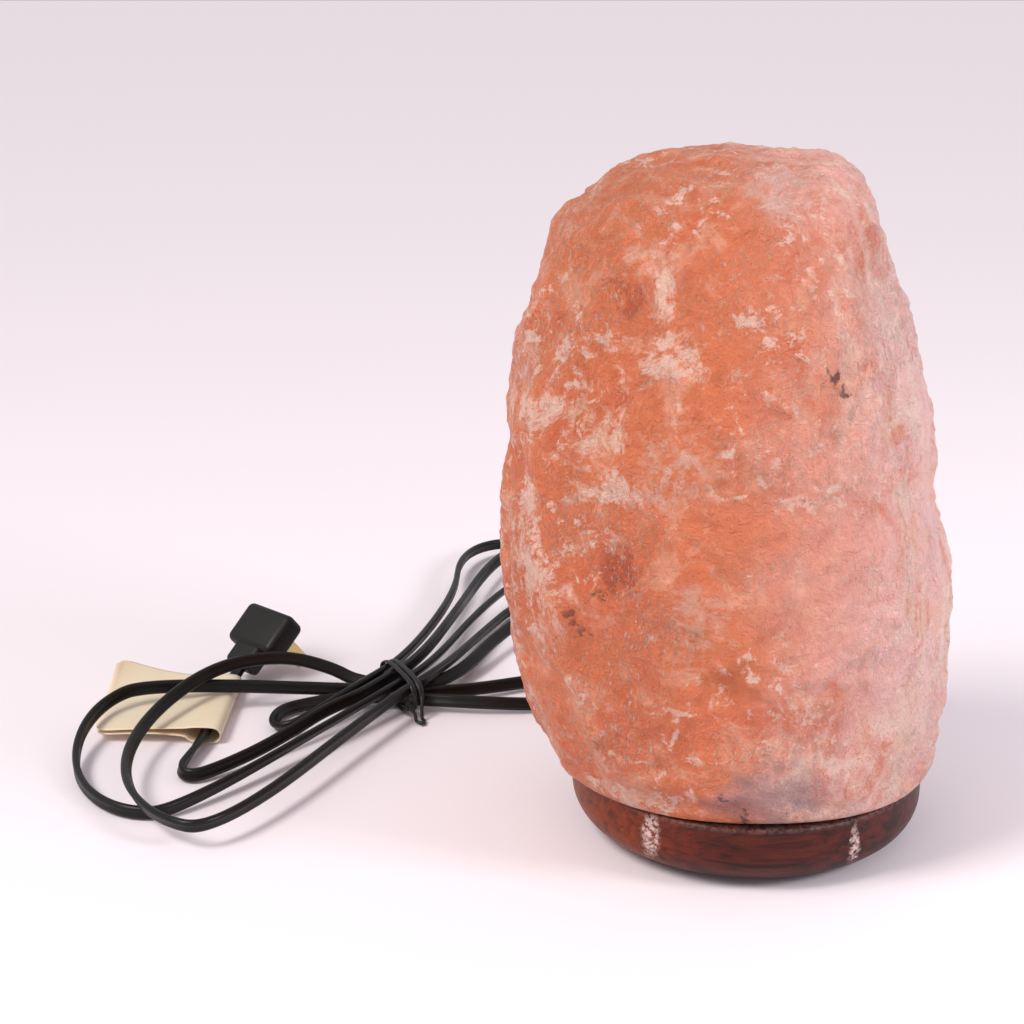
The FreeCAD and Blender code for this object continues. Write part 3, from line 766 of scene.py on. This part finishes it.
def addTag():
    # One strip of film folded round the cord, its two leaves together and the far corner curled up.
    width, length, loop, high, edge, gap, corner, curl, ripple, steps, film = tagSettings.values()
    half = loop / 2
    slope = (high - 2.2 - edge) / (width - half)
    corners = [
        (-width, edge + gap), (-half - 1.5, high - 2.2 - slope + gap), (-half + 1.5, high - 0.2),
        (half - 2, high - 0.2), (half - 0.2, high - 2), (half - 0.2, 2), (half - 2, 0.3),
        (-half + 1, 0.3), (-half - 1.5, high - 2.2 - slope), (-width, edge),
    ]
    line = evenPoints(splinePoints([(x / 1000, 0, z / 1000) for x, z in corners]), 0.0014)
    mesh = bmesh.new()
    rows = []
    for point in line:
        left = (point.x * 1000 + width) / (width - half)
        trim = 0.0
        if left * (width - half) < corner:
            trim = corner - math.sqrt(max(0, corner ** 2 - (corner - left * (width - half)) ** 2))
        lift = curl * max(0, 1 - left) ** 2
        row = []
        for k in range(steps + 1):
            across = k / steps
            y = trim + (length - 2 * trim) * across
            wave = ripple * math.sin(7 * across + 3 * left) * min(1, max(0, 1 - left) * 3)
            row.append(mesh.verts.new((point.x, y / 1000, point.z + (lift * across ** 1.5 + wave) / 1000)))
        rows.append(row)
    for row, following in zip(rows, rows[1:]):
        for k in range(steps):
            mesh.faces.new((row[k], row[k + 1], following[k + 1], following[k]))
    bmesh.ops.recalc_face_normals(mesh, faces=mesh.faces)
    bmesh.ops.solidify(mesh, geom=list(mesh.faces), thickness=film)
    mesh.transform(Matrix.Translation(Vector(tagPlace) / 1000) @ Matrix.Rotation(tagTurn, 4, "Z"))
    data = bpy.data.meshes.new("tag")
    mesh.to_mesh(data)
    mesh.free()
    tag = addPiece("blank_tag", data, "cord_set", tagMaterial())
    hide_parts("cord_tag")
    return tag


def finishNodes():
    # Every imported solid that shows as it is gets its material.
    metal = metalMaterial("bright_steel", (0.62, 0.6, 0.57), 0.3)
    brass = metalMaterial("brass_plate", (0.78, 0.6, 0.28), 0.28)
    plastic = mouldedMaterial("holder_resin", (0.62, 0.59, 0.52), 0.45)
    black = mouldedMaterial("black_vinyl", (0.022, 0.02, 0.02), 0.4)
    rubber = mouldedMaterial("foot_rubber", (0.03, 0.03, 0.03), 0.8, 300, 0.3)
    glass = glassMaterial()
    chosen = {
        "wood_base": woodMaterial(), "base_screws": metal, "base_feet": rubber, "spring_clip": metal,
        "holder_rivets": metal, "lampholder_housing": plastic, "lampholder_terminals": brass,
        "lampholder_screw_shell": brass, "lampholder_center_contact": brass, "bulb_cap": metal,
        "bulb_tip_contact": metal, "bulb_cap_insulator": black, "bulb_glass": glass, "bulb_stem": glass,
        "bulb_lead_wires": metal, "bulb_filament": metal, "plug_blade_narrow": brass,
        "plug_blade_wide": brass,
    }
    for name, material in chosen.items():
        data = bpy.data.objects[name].data
        data.materials.clear()
        data.materials.append(material)
        for polygon in data.polygons:
            polygon.material_index = 0


addCamera()
cord, cordLine, cordLength = addCord()
addStudio()
print("studio done")
addRock()
plug = addPlug()
tie = addTie()
tag = addTag()
print("plug, tie and tag done")
finishNodes()
